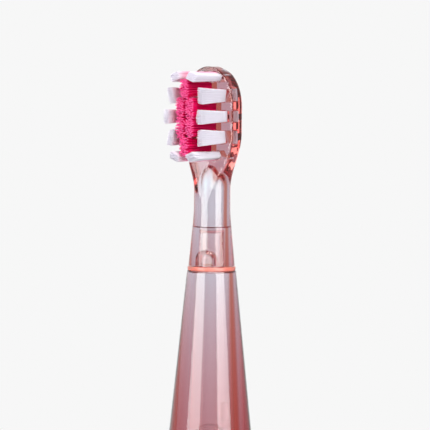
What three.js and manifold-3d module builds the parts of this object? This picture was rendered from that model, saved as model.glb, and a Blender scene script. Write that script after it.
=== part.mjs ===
// A child's sonic toothbrush standing on its induction charger.
// Millimetres, +Z up. The origin is the centre of the charger's footprint, on the surface it stands on.
// The bristles and the power button face -Y, and the charger's power inlet faces +Y.
import * as THREE from 'three';
import { mergeVertices } from 'three/addons/utils/BufferGeometryUtils.js';
import Module from 'manifold-3d';

const wasm = await Module();
wasm.setup();

/* ---------- driving dimensions ---------- */

const GAP = 0.3;                    // clearance between separate pieces that sit in each other
const HAIRLINE = 0.1;               // clearance of a tight fit

const BRUSH_TOP = 203;
const BRUSH_BOTTOM = 13;            // the brush's foot, seated in the cradle

// head
const PLATE_HALF_WIDTH = 5.9;
const PLATE_FACE = 1.93;            // the bristle face, in front of the axis
const PLATE_BACK = 3.0;             // the plate's back, behind the axis
const PLATE_EDGE = 2.04;            // rounding of the plate's back edge
const TIP_LENGTH = 8;               // length of the plate's rounded end
const NECK_RADIUS = 3.65;
const SHOULDER_START = 13.5;        // distance below the tip where the plate starts to narrow
const SHOULDER_END = 24.5;          // and where the neck is round
const FACE_SLOPE_START = 19.3;      // where the flat face starts to rise to the front of the neck
const FACE_SLOPE_END = 27;
const SOCKET_FLARE_START = 28.5;
const SOCKET_FLARE_SLOPE = 0.1;
const SEAM = 163.1;                 // underside of the head
const PEG_TOP = 170.3;
const PEG_RADIUS = 2.5;
const PEG_BORE = 1.9;               // the peg is hollow, and opens into the cone
const SOCKET_RADIUS = 2.8;
const CORE_RADIUS = 2.5;            // hollow core of the neck above the peg
const CORE_TOP = 183.2;
const CORE_DOME = 4.5;              // height of the bore's domed end
const KEY_WIDTH = 3.2;
const KEY_REACH = 3.3;              // the key's outer face, from the axis
const KEY_TOP = 166.1;
const KEY_TURN = THREE.MathUtils.degToRad(12);

// tufts, in the plate's own frame: across, and up from the middle row
const TUFT_CENTRE = 193.1;          // height of the middle row
const POCKET_DEPTH = 3.0;
const TUFT_TIP = 9.25;              // length of the longest white tufts above the face
const PINK_TIP = 8.7;               // length of a paired pink tuft above the face

// handle
const CONE_TOP = 162.2;
const CONE_TOP_RADIUS = 4.9;
const CONE_SLOPE = 0.1034;          // growth of the radius with distance below the cone's top
const CONE_BOTTOM = 104;
const CONE_BORE = 3.7;              // the cone's inner radius at its top
const FLARE_END = 120;              // the slope eases from here down to the widest place
const WIDEST = 50;
const FOOT_TAPER = 0.9;             // loss of radius from the widest place to the brush's foot
const HANDLE_WALL = 2.2;
const GRIP_THICKNESS = 1.0;
const GRIP_BOTTOM = 30;
const GRIP_TOP = 97;
const SPIGOT_TOP = 110;
const SPIGOT_RADIUS = 8.8;
const SPIGOT_BORE = 7.9;
const PANEL_WIDTH = 13;             // front window of the grip
const PANEL_BOTTOM = 42;
const PANEL_TOP = 92;
const BUTTON_Z = 82;
const BUTTON_RADIUS = 5;
const MODE_LIGHT_Z = [66, 60, 54];
const MODE_LIGHT_RADIUS = 0.7;
const MOTOR_RADIUS = 6;
const DAMPER_RADIUS = 7.6;

// well and receiver
const WELL_RADIUS = 5.2;
const WELL_TOP = 29.3;
const WELL_WALL = 1.2;

// charger
const CHARGER_RADIUS = 29;
const CHARGER_TOP = 16;
const CHARGER_WALL = 1.8;
const SHELL_BOTTOM = 1;
const DOME_START = 4;               // the shell's side is upright below this height
const CRADLE_RADIUS = 13.6;
const CRADLE_FLOOR = 12.7;
const POST_RADIUS = 4.7;
const POST_TOP = 28.7;
const POST_BORE = 3.3;
const COVER_TOP = 2.8;
const BOSS_CIRCLE = 20;
const FOOT_CIRCLE = 21.5;
const FOOT_RADIUS = 4;
const FOOT_HEIGHT = 1.5;
const BOARD_BOTTOM = 4.6;
const BOARD_THICKNESS = 1.2;
const INLET_Z = 7.7;
const INLET_WIDTH = 8.9;
const INLET_HEIGHT = 3.2;
const INLET_FRONT = 27.6;
const INLET_DEPTH = 7;
const CHARGE_LIGHT_Z = 8;

/* ---------- making, joining and cutting closed geometry ---------- */

// The volume that a closed indexed mesh holds, negative if its faces point inwards.
function volumeOf(points, corners) {
  let volume = 0;
  const [a, b, c] = [new THREE.Vector3(), new THREE.Vector3(), new THREE.Vector3()];
  for (let i = 0; i < corners.length; i += 3) {
    a.fromArray(points, 3 * corners[i]);
    b.fromArray(points, 3 * corners[i + 1]);
    c.fromArray(points, 3 * corners[i + 2]);
    volume += a.dot(b.cross(c)) / 6;
  }
  return volume;
}

function solidOf(geometry) {
  const bare = geometry.clone();
  bare.deleteAttribute('normal');
  bare.deleteAttribute('uv');
  const welded = mergeVertices(bare, 1e-4);
  const points = welded.attributes.position.array;
  const corners = [];
  for (let i = 0; i < welded.index.count; i += 3) {
    const [a, b, c] = [0, 1, 2].map((k) => welded.index.getX(i + k));
    if (a !== b && b !== c && c !== a) corners.push(a, b, c);
  }
  if (volumeOf(points, corners) < 0) corners.reverse();
  return new wasm.Manifold(new wasm.Mesh({
    numProp: 3,
    vertProperties: Float32Array.from(points),
    triVerts: Uint32Array.from(corners),
  }));
}

function geometryOf(solid) {
  const mesh = solid.getMesh();
  const geometry = new THREE.BufferGeometry();
  geometry.setAttribute('position', new THREE.BufferAttribute(Float32Array.from(mesh.vertProperties), 3));
  geometry.setIndex(new THREE.BufferAttribute(Uint32Array.from(mesh.triVerts), 1));
  geometry.computeVertexNormals();
  return geometry;
}

function cut(body, ...tools) {
  return geometryOf(tools.reduce((rest, tool) => rest.subtract(solidOf(tool)), solidOf(body)));
}

function joined(body, ...parts) {
  return geometryOf(parts.reduce((whole, part) => whole.add(solidOf(part)), solidOf(body)));
}

function common(body, other) {
  return geometryOf(solidOf(body).intersect(solidOf(other)));
}

/* ---------- basic shapes ---------- */

// A body turned about Z from an outline of [radius, height] pairs.
// An outline that doesn't start on the axis is a ring, and closes on itself.
function turned(outline, segments = 24) {
  const points = outline.map(([radius, height]) => new THREE.Vector2(radius, height));
  if (outline[0][0] > 0) points.push(points[0].clone());
  return new THREE.LatheGeometry(points, segments).rotateX(Math.PI / 2);
}

function rod(radius, bottom, top, segments = 16) {
  return turned([[0, bottom], [radius, bottom], [radius, top], [0, top]], segments);
}

function ring(inner, outer, bottom, top, segments = 24) {
  return turned([[inner, bottom], [outer, bottom], [outer, top], [inner, top]], segments);
}

// A rod along Y, from front to back.
function crossRod(radius, front, back, x, z, segments = 16) {
  return rod(radius, front, back, segments).rotateX(-Math.PI / 2).translate(x, 0, z);
}

// A block between two corners.
function block([x0, y0, z0], [x1, y1, z1]) {
  return new THREE.BoxGeometry(x1 - x0, y1 - y0, z1 - z0)
    .translate((x0 + x1) / 2, (y0 + y1) / 2, (z0 + z1) / 2);
}

// A slab with round ends, seen along Y: width along X, height along Z.
function stadium(width, height, front, back, z) {
  const radius = Math.min(width, height) / 2;
  const [a, b] = [width / 2 - radius, height / 2 - radius];
  const shape = new THREE.Shape();
  shape.absarc(a, b, radius, 0, Math.PI / 2);
  shape.absarc(-a, b, radius, Math.PI / 2, Math.PI);
  shape.absarc(-a, -b, radius, Math.PI, 1.5 * Math.PI);
  shape.absarc(a, -b, radius, 1.5 * Math.PI, 2 * Math.PI);
  shape.closePath();
  return new THREE.ExtrudeGeometry(shape, { depth: back - front, bevelEnabled: false, curveSegments: 4 })
    .rotateX(Math.PI / 2)
    .translate(0, back, z);
}

// A closed body through rings of points that all have the same count.
function lofted(rings) {
  const count = rings[0].length;
  const points = rings.flat();
  const corners = [];
  for (let level = 0; level < rings.length - 1; level += 1) {
    for (let i = 0; i < count; i += 1) {
      const a = level * count + i;
      const b = level * count + (i + 1) % count;
      corners.push(a, b, a + count, b, b + count, a + count);
    }
  }
  const last = points.length - count;
  for (let i = 1; i < count - 1; i += 1) {
    corners.push(0, i + 1, i);
    corners.push(last, last + i, last + i + 1);
  }
  return new THREE.BufferGeometry().setFromPoints(points).setIndex(corners);
}

const smooth = (from, to, value) => THREE.MathUtils.smoothstep(value, from, to);
const steps = (from, to, count) => Array.from({ length: count + 1 }, (_, i) => from + (to - from) * i / count);

/* ---------- outlines shared by several pieces ---------- */

// Outer radius of the light cone and the handle at a height.
function bodyRadius(z) {
  if (z >= FLARE_END) return CONE_TOP_RADIUS + CONE_SLOPE * (CONE_TOP - z);
  const flare = (run) => bodyRadius(FLARE_END) + CONE_SLOPE * run * (1 - run / (2 * (FLARE_END - WIDEST)));
  if (z >= WIDEST) return flare(FLARE_END - z);
  return flare(FLARE_END - WIDEST) - FOOT_TAPER * ((WIDEST - z) / (WIDEST - BRUSH_BOTTOM)) ** 2;
}

// The head's cross-section at a distance below its tip: a rounded rectangle that turns into the round
// neck, cut flat in front by the bristle face.
function headSection(down) {
  const toNeck = smooth(SHOULDER_START, SHOULDER_END, down);
  const flareRun = Math.max(0, down - SOCKET_FLARE_START);
  const flare = SOCKET_FLARE_SLOPE * flareRun ** 2 / (flareRun + 1.5);
  const tip = Math.min(1, down / TIP_LENGTH);
  const rollOff = down < PLATE_EDGE ? PLATE_EDGE - Math.sqrt(PLATE_EDGE ** 2 - (PLATE_EDGE - down) ** 2) : 0;
  const halfWidth = THREE.MathUtils.lerp(PLATE_HALF_WIDTH * Math.sqrt(1 - (1 - tip) ** 2), NECK_RADIUS, toNeck);
  const back = THREE.MathUtils.lerp(PLATE_BACK - rollOff, NECK_RADIUS, toNeck);
  const radius = Math.min(halfWidth, THREE.MathUtils.lerp(PLATE_EDGE, NECK_RADIUS, toNeck));
  const faceRise = THREE.MathUtils.clamp(
    (down - FACE_SLOPE_START) / (FACE_SLOPE_END - FACE_SLOPE_START), 0, 1);
  const face = THREE.MathUtils.lerp(PLATE_FACE, NECK_RADIUS, faceRise);
  return {
    halfWidth: halfWidth + flare,
    back: back + flare,
    radius: radius + flare,
    front: NECK_RADIUS + flare,
    face: face + flare * faceRise,
  };
}

function headRing(down) {
  const { halfWidth, back, radius, front, face } = headSection(down);
  const z = BRUSH_TOP - down;
  const frontCentre = Math.min(front - radius, face);
  const faceAngle = Math.asin(Math.min(1, (face - frontCentre) / radius));
  const quarter = [];
  for (const angle of steps(-faceAngle, 0, 5)) {
    quarter.push([halfWidth - radius + radius * Math.cos(angle), -frontCentre + radius * Math.sin(angle)]);
  }
  for (const angle of steps(0, 0.5 * Math.PI, 6)) {
    quarter.push([halfWidth - radius + radius * Math.cos(angle), back - radius + radius * Math.sin(angle)]);
  }
  const mirrored = quarter.map(([x, y]) => [-x, y]).reverse();
  return [...quarter, ...mirrored].map(([x, y]) => new THREE.Vector3(x, y, z));
}

/* ---------- tufts ---------- */

// Each tuft has its place on the face, the size of its pocket, the height of its flared tip, its turn
// about its own length, its length, and how far its tip slants towards +Z or -Z.
function whiteTufts() {
  const rows = [
    { up: 7.9, across: 2.0, wide: 2.3, tall: 1.5, tipTall: 1.9, turn: 0.42, slant: -0.4, length: TUFT_TIP },
    { up: 4.15, across: 3.5, wide: 1.4, tall: 2.6, tipTall: 3.5, turn: 0.12, slant: 0.35, length: TUFT_TIP - 0.95 },
    { up: 0, across: 3.9, wide: 1.4, tall: 2.4, tipTall: 3.3, turn: 0, slant: 0, length: TUFT_TIP },
    { up: -4.15, across: 3.5, wide: 1.4, tall: 2.6, tipTall: 3.5, turn: -0.12, slant: -0.35, length: TUFT_TIP - 0.95 },
    { up: -7.9, across: 2.0, wide: 2.3, tall: 1.5, tipTall: 1.9, turn: -0.42, slant: 0.4, length: TUFT_TIP },
  ];
  return [1, -1].flatMap((side) => rows.map((row) => ({
    ...row,
    across: side * row.across,
    turn: side * row.turn,
  })));
}

function pinkTufts() {
  const single = { across: 0, wide: 1.7, tall: 2.4, tipTall: 3.6, turn: 0, slant: 0, length: PINK_TIP + 0.35 };
  const paired = { wide: 1.7, tall: 2.6, tipTall: 3.7, turn: 0, slant: 0, length: PINK_TIP };
  return [
    { ...single, up: 5.6 },
    { ...paired, up: 1.75, across: 1.1 },
    { ...paired, up: 1.75, across: -1.1 },
    { ...paired, up: -2.1, across: 1.1 },
    { ...paired, up: -2.1, across: -1.1 },
    { ...single, up: -5.9 },
  ];
}

// A rectangle with its corners cut off, across X and Z at a depth along Y, placed as the tuft is.
function tuftRing(tuft, wide, tall, y, slant = 0) {
  const [a, b] = [wide / 2, tall / 2];
  const c = 0.3 * Math.min(wide, tall);
  const corners = [[a, -b + c], [a, b - c], [a - c, b], [-a + c, b], [-a, b - c], [-a, -b + c], [-a + c, -b],
    [a - c, -b]];
  return corners.map(([x, z]) => new THREE.Vector3(
    tuft.across + x * Math.cos(tuft.turn) + z * Math.sin(tuft.turn),
    y - slant * z / b,
    TUFT_CENTRE + tuft.up + z * Math.cos(tuft.turn) - x * Math.sin(tuft.turn),
  ));
}

function tuftShape(tuft) {
  const tip = -PLATE_FACE - tuft.length;
  return lofted([
    tuftRing(tuft, tuft.wide, tuft.tall, -PLATE_FACE + POCKET_DEPTH),
    tuftRing(tuft, tuft.wide, tuft.tall, -PLATE_FACE - 0.5),
    tuftRing(tuft, tuft.wide, tuft.tipTall, tip + 0.6, 0.8 * tuft.slant),
    tuftRing(tuft, 0.8 * tuft.wide, tuft.tipTall - 0.5, tip, tuft.slant),
  ]);
}

function pocket(tuft) {
  const [wide, tall] = [tuft.wide + 2 * HAIRLINE, tuft.tall + 2 * HAIRLINE];
  return lofted([
    tuftRing(tuft, wide, tall, -PLATE_FACE + POCKET_DEPTH + HAIRLINE),
    tuftRing(tuft, wide, tall, -PLATE_FACE - 1),
  ]);
}

/* ---------- brush head ---------- */

function headBody() {
  const levels = [0.06, 0.5, 1.2, 2.04, 3.4, 5.4, 8, 13.5, 15.5, 17.2, 19.3, 21, 22.7, 24.5, 27, 29, 30.5, 34,
    BRUSH_TOP - SEAM];
  const outside = lofted(levels.map(headRing));
  const domedEnd = steps(0.5 * Math.PI, 0, 4).map((angle) => [
    CORE_RADIUS * Math.cos(angle), CORE_TOP - CORE_DOME * (1 - Math.sin(angle))]);
  const bore = joined(
    turned([...domedEnd, [CORE_RADIUS, PEG_TOP], [0, PEG_TOP]], 20),
    rod(SOCKET_RADIUS, SEAM - 1, PEG_TOP + 0.5),
  );
  return cut(outside, bore, key(GAP, SEAM - 1), ...[...whiteTufts(), ...pinkTufts()].map(pocket));
}

// The key that stops the head from turning, or with a clearance the keyway cut for it.
function key(clearance, bottom) {
  const [width, reach, top] = [KEY_WIDTH + 2 * clearance, KEY_REACH + clearance, KEY_TOP + clearance];
  const lug = stadium(width, 2 * (top - SEAM), -reach, -1, SEAM);
  return common(lug, block([-width, -reach - 1, bottom], [width, 0, top + 1])).rotateZ(KEY_TURN);
}

const headSealRing = () => ring(3.6, 4.82, CONE_TOP + 0.05, SEAM - 0.05);

/* ---------- handle: light cone and what it covers ---------- */

// Inner radius of the cone at a height: nearly straight, then wider round the motor's end.
function coneBore(z) {
  const run = CONE_TOP - z;
  return CONE_BORE + 0.028 * run + 0.0038 * Math.max(0, run - 30) ** 2;
}

function lightCone() {
  const inner = steps(CONE_TOP - 0.35, SPIGOT_TOP + GAP, 5).map((z) => [coneBore(z), z]);
  const outer = [...steps(CONE_BOTTOM, FLARE_END, 2), CONE_TOP].map((z) => [bodyRadius(z), z]);
  const shell = turned([
    [0, PEG_TOP - 0.6],
    [PEG_BORE, PEG_TOP - 0.6],
    [PEG_BORE, CONE_TOP - 0.35],
    ...inner,
    [SPIGOT_RADIUS + GAP, SPIGOT_TOP + GAP],
    [SPIGOT_RADIUS + GAP, CONE_BOTTOM],
    ...outer,
    [3.3, CONE_TOP],
    [3.3, SEAM - GAP],
    [PEG_RADIUS, SEAM - GAP],
    [PEG_RADIUS, PEG_TOP],
    [0, PEG_TOP],
  ]);
  return joined(shell, key(0, SEAM + HAIRLINE));
}

function lightDiffuser() {
  const [radius, wall, base, centre, flange] = [4.2, 0.6, 112.8, 127, 5.9];
  const arc = (r) => steps(0, 0.4 * Math.PI, 3).map((angle) => [r * Math.cos(angle), centre + r * Math.sin(angle)]);
  return turned([
    [0, centre + radius - wall],
    ...arc(radius - wall).reverse(),
    [radius - wall, base],
    [flange, base],
    [flange, base + 1.2],
    [radius, base + 1.2],
    ...arc(radius),
    [0, centre + radius],
  ], 20);
}

const ledLamp = () => turned([
  [0, 130.2], [0.35, 130.2], [0.35, 132.2], [0.65, 132.2], [0.65, 135.2], [0.45, 135.7], [0, 135.9],
], 12).translate(3.2, 0, 0);

/* ---------- handle: housing, grip and controls ---------- */

function handleBody() {
  const recess = GRIP_THICKNESS + HAIRLINE;
  const outer = [
    [bodyRadius(BRUSH_BOTTOM + 3), BRUSH_BOTTOM + 3],
    [bodyRadius(GRIP_BOTTOM), GRIP_BOTTOM],
    ...steps(GRIP_BOTTOM, GRIP_TOP, 4).map((z) => [bodyRadius(z) - recess, z]),
    [bodyRadius(GRIP_TOP), GRIP_TOP],
    [bodyRadius(CONE_BOTTOM), CONE_BOTTOM - GAP],
    [SPIGOT_RADIUS, CONE_BOTTOM - GAP],
    [SPIGOT_RADIUS, SPIGOT_TOP],
    [SPIGOT_BORE, SPIGOT_TOP],
  ];
  const inner = [
    [SPIGOT_BORE, CONE_BOTTOM - 3],
    ...steps(CONE_BOTTOM - 6, BRUSH_BOTTOM + 25, 3).map((z) => [bodyRadius(z) - HANDLE_WALL, z]),
    [10.5, BRUSH_BOTTOM + 13],
    [10.5, BRUSH_BOTTOM + 3],
  ];
  const panel = common(
    turned([
      [9, PANEL_BOTTOM],
      ...steps(PANEL_BOTTOM, PANEL_TOP, 3).map((z) => [bodyRadius(z), z]),
      [9, PANEL_TOP],
    ]),
    stadium(PANEL_WIDTH - 2 * HAIRLINE, PANEL_TOP - PANEL_BOTTOM - 2 * HAIRLINE, -20, -8,
      (PANEL_BOTTOM + PANEL_TOP) / 2),
  );
  const bore = turned([
    [0, PANEL_BOTTOM - 10],
    ...steps(PANEL_BOTTOM - 10, PANEL_TOP + 4, 3).map((z) => [bodyRadius(z) - HANDLE_WALL, z]),
    [0, PANEL_TOP + 4],
  ]);
  return cut(
    joined(turned([...outer, ...inner]), cut(panel, bore)),
    crossRod(BUTTON_RADIUS + GAP, -20, -5, 0, BUTTON_Z, 24),
    ...MODE_LIGHT_Z.map((z) => crossRod(MODE_LIGHT_RADIUS + 0.15, -20, -5, 0, z, 8)),
  );
}

function softGrip() {
  const sleeve = turned([
    ...steps(GRIP_TOP - GAP, GRIP_BOTTOM + GAP, 4).map((z) => [bodyRadius(z) - GRIP_THICKNESS, z]),
    ...steps(GRIP_BOTTOM + GAP, GRIP_TOP - GAP, 4).map((z) => [bodyRadius(z), z]),
  ]);
  const window = stadium(PANEL_WIDTH + 2 * HAIRLINE, PANEL_TOP - PANEL_BOTTOM + 2 * HAIRLINE, -20, -6,
    (PANEL_BOTTOM + PANEL_TOP) / 2);
  return cut(sleeve, window);
}

function powerButton() {
  return turned([[0, 10.5], [BUTTON_RADIUS, 10.5], [BUTTON_RADIUS, 12.3], [BUTTON_RADIUS - 0.6, 12.9],
    [2.5, 12.6], [0, 12.5]], 24)
    .rotateX(Math.PI / 2)
    .translate(0, 0, BUTTON_Z);
}

const switchPlunger = () => crossRod(1, -10.2, -9.6, 0, BUTTON_Z, 12);
const tactSwitch = () => block([-2.6, -8.9, BUTTON_Z - 2.6], [2.6, -7.7, BUTTON_Z + 2.6]);
const modeLight = (z) => crossRod(MODE_LIGHT_RADIUS, -bodyRadius(z) + 0.05, -8.4, 0, z, 12);
const circuitBoard = () => block([-5, -7.6, 40], [5, -6.6, 90]);

function chassisFrame() {
  const end = (bottom, top) => common(rod(9, bottom, top, 24), block([-12, -6.3, bottom], [12, 12, top]));
  return joined(block([-6.6, -6.3, 33.8], [6.6, -5.3, 91]), end(33.6, 35.4), end(89.2, 91));
}

const battery = () => joined(rod(7, 38, 87, 24), rod(2.6, 86, 88, 12)).translate(0, 2, 0);
const batteryContactPlus = () => rod(4, 88.3, 88.8, 12).translate(0, 2, 0);
const batteryContactMinus = () => turned([[0, 35.8], [4, 35.8], [4, 36.2], [2, 37.7], [0, 37.7]], 12)
  .translate(0, 2, 0);

/* ---------- handle: motor and induction receiver ---------- */

const motorCan = () => joined(rod(MOTOR_RADIUS, 92, 111, 20), rod(2, 110, 112, 12));
const motorShaft = () => rod(0.75, 112.3, 121.5, 12);
const motorDamper = () => ring(MOTOR_RADIUS + GAP, DAMPER_RADIUS, 94, 109, 20);

function eccentricWeight() {
  const half = common(rod(3.2, 115, 120.5, 24), block([-5, 0.2, 115], [5, 5, 120.5]));
  return cut(joined(half, rod(1.9, 115, 120.5, 16)), rod(0.95, 114, 122, 12));
}

const receivingCoil = () => ring(6.7, 8.5, 17, 27.8, 20);
const receivingCore = () => ring(6.7, 8.5, 28.2, 30.4, 20);

function bottomCap() {
  return turned([
    [0, WELL_TOP],
    [WELL_RADIUS - 0.6, WELL_TOP],
    [WELL_RADIUS, WELL_TOP - 0.6],
    [WELL_RADIUS, BRUSH_BOTTOM + 0.8],
    [WELL_RADIUS + 0.8, BRUSH_BOTTOM],
    [bodyRadius(BRUSH_BOTTOM) - 1.2, BRUSH_BOTTOM],
    [bodyRadius(BRUSH_BOTTOM) - 0.35, BRUSH_BOTTOM + 0.35],
    [bodyRadius(BRUSH_BOTTOM), BRUSH_BOTTOM + 1.2],
    [bodyRadius(BRUSH_BOTTOM + 2.7), BRUSH_BOTTOM + 2.7],
    [10.2, BRUSH_BOTTOM + 2.7],
    [10.2, 18.6],
    [9.4, 18.6],
    [9.4, 20.2],
    [10.2, 20.2],
    [10.2, 23],
    [8.8, 23],
    [8.8, BRUSH_BOTTOM + 3],
    [WELL_RADIUS + WELL_WALL, BRUSH_BOTTOM + 3],
    [WELL_RADIUS + WELL_WALL, WELL_TOP + 1],
    [WELL_RADIUS + WELL_WALL - 0.6, WELL_TOP + 1.6],
    [0, WELL_TOP + 1.6],
  ]);
}

function bottomSeal() {
  const [middle, radius, height] = [9.92, 0.42, 19.4];
  const section = steps(0, 2 * Math.PI, 5).slice(0, -1)
    .map((angle) => [middle + radius * Math.cos(angle), height + radius * Math.sin(angle)]);
  return turned(section);
}

/* ---------- charger ---------- */

const around = (count, turn, radius) => Array.from({ length: count }, (_, i) => {
  const angle = turn + i * 2 * Math.PI / count;
  return [radius * Math.cos(angle), radius * Math.sin(angle)];
});
const BOSSES = around(4, Math.PI / 4, BOSS_CIRCLE);
const FEET = around(4, 0, FOOT_CIRCLE);

// The charger's dome: a quarter ellipse from the upright side to the rim of the cradle.
function dome(inset) {
  const rim = CRADLE_RADIUS + 1.6;
  return steps(0, Math.PI / 2, 5).map((angle) => [
    rim + (CHARGER_RADIUS - inset - rim) * Math.cos(angle),
    DOME_START + (CHARGER_TOP - inset - DOME_START) * Math.sin(angle),
  ]);
}

function chargerShell() {
  const outside = [
    [CHARGER_RADIUS - CHARGER_WALL, SHELL_BOTTOM],
    [CHARGER_RADIUS - 0.5, SHELL_BOTTOM],
    [CHARGER_RADIUS, SHELL_BOTTOM + 0.5],
    ...dome(0),
    [CRADLE_RADIUS + 0.4, CHARGER_TOP - 0.4],
    [CRADLE_RADIUS, CHARGER_TOP - 1.2],
    [CRADLE_RADIUS - 0.4, CRADLE_FLOOR],
    [POST_RADIUS + 1, CRADLE_FLOOR],
    [POST_RADIUS, CRADLE_FLOOR + 1],
    [POST_RADIUS - 0.1, POST_TOP - 1.4],
    [POST_RADIUS - 0.7, POST_TOP - 0.4],
    [POST_RADIUS - 1.7, POST_TOP],
    [0, POST_TOP],
  ];
  const inside = [
    [0, POST_TOP - 1.4],
    [POST_BORE, POST_TOP - 1.4],
    [POST_BORE, CRADLE_FLOOR - 1.6],
    [CRADLE_RADIUS + 0.2, CRADLE_FLOOR - 1.6],
    ...dome(CHARGER_WALL).reverse(),
  ];
  const shell = turned([...inside, ...outside], 32);
  const bosses = BOSSES.map(([x, y]) => rod(2.8, COVER_TOP + GAP, 13, 8).translate(x, y, 0));
  const screwHoles = BOSSES.map(([x, y]) => rod(1.35, COVER_TOP, 10.5, 8).translate(x, y, 0));
  return cut(
    joined(shell, ...bosses),
    ...screwHoles,
    stadium(INLET_WIDTH + 0.7, INLET_HEIGHT + 0.7, 22, 32, INLET_Z),
    crossRod(1.5, -32, -22, 0, CHARGE_LIGHT_Z, 12),
  );
}

function chargerCover() {
  const plate = rod(CHARGER_RADIUS - CHARGER_WALL - GAP, SHELL_BOTTOM, COVER_TOP, 32);
  const pillars = around(4, Math.PI / 4, 12).map(([x, y]) => rod(1.5, 2, BOARD_BOTTOM - GAP, 6).translate(x, y, 0));
  return cut(
    joined(plate, ...pillars),
    ...FEET.map(([x, y]) => rod(FOOT_RADIUS + GAP, 0, FOOT_HEIGHT + GAP, 16).translate(x, y, 0)),
    ...BOSSES.map(([x, y]) => rod(2.6, 0, 2.1, 12).translate(x, y, 0)),
    ...BOSSES.map(([x, y]) => rod(1.5, 0, 5, 8).translate(x, y, 0)),
  );
}

const foot = () => turned([[0, 0], [FOOT_RADIUS - 0.4, 0], [FOOT_RADIUS, 0.4], [FOOT_RADIUS, FOOT_HEIGHT],
  [0, FOOT_HEIGHT]], 16);

function coverScrew() {
  const body = turned([[0, 1.1], [2.1, 1.1], [2.3, 1.4], [2.3, 1.8], [1.15, 1.8], [1.15, 8.6], [0.6, 9.4],
    [0, 9.4]], 8);
  return cut(body, block([-1.3, -0.3, 0], [1.3, 0.3, 1.6]), block([-0.3, -1.3, 0], [0.3, 1.3, 1.6]));
}

const ferriteCore = () => rod(1.8, 7, 26.8, 12);
const primaryCoil = () => ring(2.1, 3, 14, 26.5, 16);

function chargerBoard() {
  const [bottom, top] = [BOARD_BOTTOM, BOARD_BOTTOM + BOARD_THICKNESS];
  return cut(
    joined(rod(16.5, bottom, top, 24), block([-6.2, 10, bottom], [6.2, 25.6, top])),
    rod(5.2, bottom - 1, top + 1, 16),
  );
}

function usbSocket() {
  const back = INLET_FRONT - INLET_DEPTH;
  return cut(
    stadium(INLET_WIDTH, INLET_HEIGHT, back, INLET_FRONT, INLET_Z),
    stadium(INLET_WIDTH - 0.7, INLET_HEIGHT - 0.7, back + 0.6, INLET_FRONT + 1, INLET_Z),
  );
}

const usbTongue = () => block([-3.3, INLET_FRONT - 6.1, INLET_Z - 0.35], [3.3, INLET_FRONT - 0.8, INLET_Z + 0.35]);
const chargeLight = () => crossRod(1.2, -28.05, -24.5, 0, CHARGE_LIGHT_Z, 12);

/* ---------- materials ---------- */

const plain = (color, roughness, metalness = 0) => new THREE.MeshStandardMaterial({ color, roughness, metalness });
const clearPink = plain('#e9b3ba', 0.12);
const clearWhite = plain('#f2e6ea', 0.2);
const coral = plain('#ff7f6a', 0.35);
const whiteBristle = plain('#efedf7', 0.55);
const pinkBristle = plain('#e8256f', 0.55);
const whiteShell = plain('#f4f2f1', 0.35);
const pinkGrip = plain('#e98f97', 0.7);
const rubber = plain('#8d8a8b', 0.85);
const steel = plain('#b9bcc0', 0.3, 1);
const copper = plain('#b8693c', 0.35, 1);
const ferrite = plain('#3a3a3d', 0.75);
const boardGreen = plain('#2f6b4a', 0.5);
const blackPlastic = plain('#242426', 0.5);
const batteryWrap = plain('#5a8fbf', 0.4);
const frameWhite = plain('#dcdcd8', 0.55);

/* ---------- assembly ---------- */

function piece(name, geometry, material) {
  const mesh = new THREE.Mesh(geometryOf(solidOf(geometry)), material);
  mesh.name = name;
  return mesh;
}

const numbered = (stem, index) => `${stem}_${String(index + 1).padStart(2, '0')}`;

function brushHead() {
  const head = new THREE.Group();
  head.add(piece('head_body', headBody(), clearPink));
  head.add(piece('head_seal_ring', headSealRing(), coral));
  whiteTufts().forEach((tuft, i) => head.add(piece(numbered('white_tuft', i), tuftShape(tuft), whiteBristle)));
  pinkTufts().forEach((tuft, i) => head.add(piece(numbered('pink_tuft', i), tuftShape(tuft), pinkBristle)));
  return head;
}

function handle() {
  const body = new THREE.Group();
  body.add(piece('light_cone', lightCone(), clearPink));
  body.add(piece('light_diffuser', lightDiffuser(), clearWhite));
  body.add(piece('led_lamp', ledLamp(), clearWhite));
  body.add(piece('handle_body', handleBody(), whiteShell));
  body.add(piece('soft_grip', softGrip(), pinkGrip));
  body.add(piece('power_button', powerButton(), pinkGrip));
  body.add(piece('switch_plunger', switchPlunger(), blackPlastic));
  body.add(piece('tact_switch', tactSwitch(), blackPlastic));
  MODE_LIGHT_Z.forEach((z, i) => body.add(piece(`mode_light_${i + 1}`, modeLight(z), clearWhite)));
  body.add(piece('circuit_board', circuitBoard(), boardGreen));
  body.add(piece('chassis_frame', chassisFrame(), frameWhite));
  body.add(piece('battery', battery(), batteryWrap));
  body.add(piece('battery_contact_plus', batteryContactPlus(), steel));
  body.add(piece('battery_contact_minus', batteryContactMinus(), steel));
  body.add(piece('motor_can', motorCan(), steel));
  body.add(piece('motor_damper', motorDamper(), rubber));
  body.add(piece('motor_shaft', motorShaft(), steel));
  body.add(piece('eccentric_weight', eccentricWeight(), steel));
  body.add(piece('receiving_coil', receivingCoil(), copper));
  body.add(piece('receiving_core', receivingCore(), ferrite));
  body.add(piece('bottom_cap', bottomCap(), whiteShell));
  body.add(piece('bottom_seal', bottomSeal(), rubber));
  return body;
}

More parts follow.
